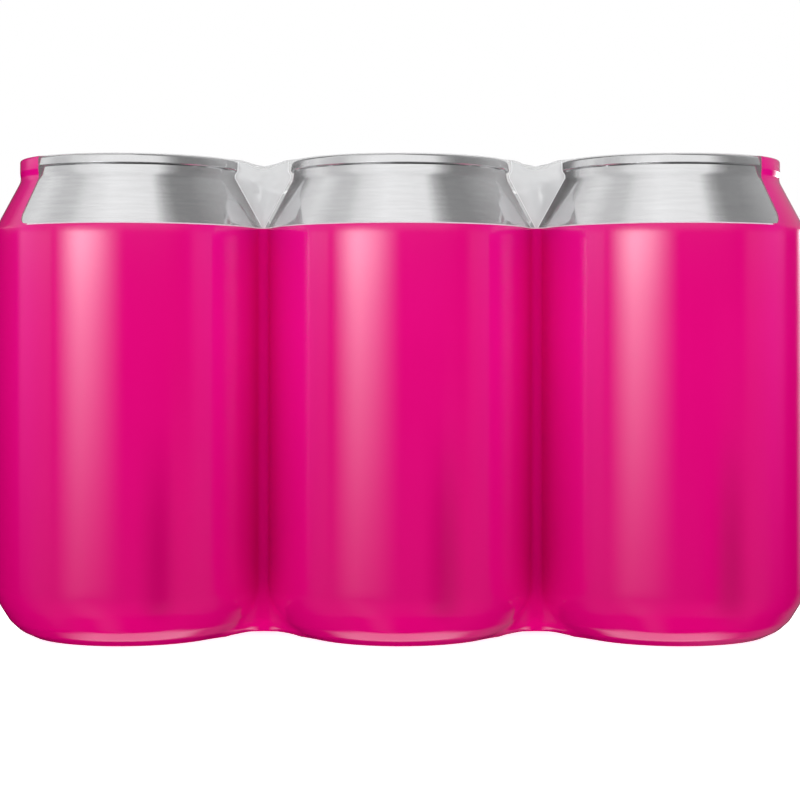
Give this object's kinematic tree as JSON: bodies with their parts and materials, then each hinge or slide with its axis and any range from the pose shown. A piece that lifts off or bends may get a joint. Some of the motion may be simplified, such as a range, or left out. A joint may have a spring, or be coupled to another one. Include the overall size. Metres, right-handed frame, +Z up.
{
  "type": "six pack of cans",
  "caption": "Drink cans in two rows, held by a sleeve of printed shrink film with a clear band over the necks and an oval opening at each short end.",
  "frame": {"origin": "middle of the pack's underside, where its film lies on the surface it stands on", "axes": "+X along the row of three cans, -Y towards the front, +Z up"},
  "size_m": [0.2012, 0.135, 0.1166],
  "materials": {
    "printed_film": "printed shrink film, glossy",
    "clear_film": "clear shrink film, glossy",
    "can_print": "metallic ink under clear varnish",
    "lid_aluminium": "satin",
    "tab_aluminium": "satin"
  },
  "bodies": {
    "root": {"film": "printed_film", "can_front_1": "can_print", "lid_front_1": "lid_aluminium", "tab_front_1": "tab_aluminium", "can_front_2": "can_print", "lid_front_2": "lid_aluminium", "tab_front_2": "tab_aluminium", "can_front_3": "can_print", "lid_front_3": "lid_aluminium", "tab_front_3": "tab_aluminium", "can_back_1": "can_print", "lid_back_1": "lid_aluminium", "tab_back_1": "tab_aluminium", "can_back_2": "can_print", "lid_back_2": "lid_aluminium", "tab_back_2": "tab_aluminium", "can_back_3": "can_print", "lid_back_3": "lid_aluminium", "tab_back_3": "tab_aluminium"}
  },
  "joints": []
}
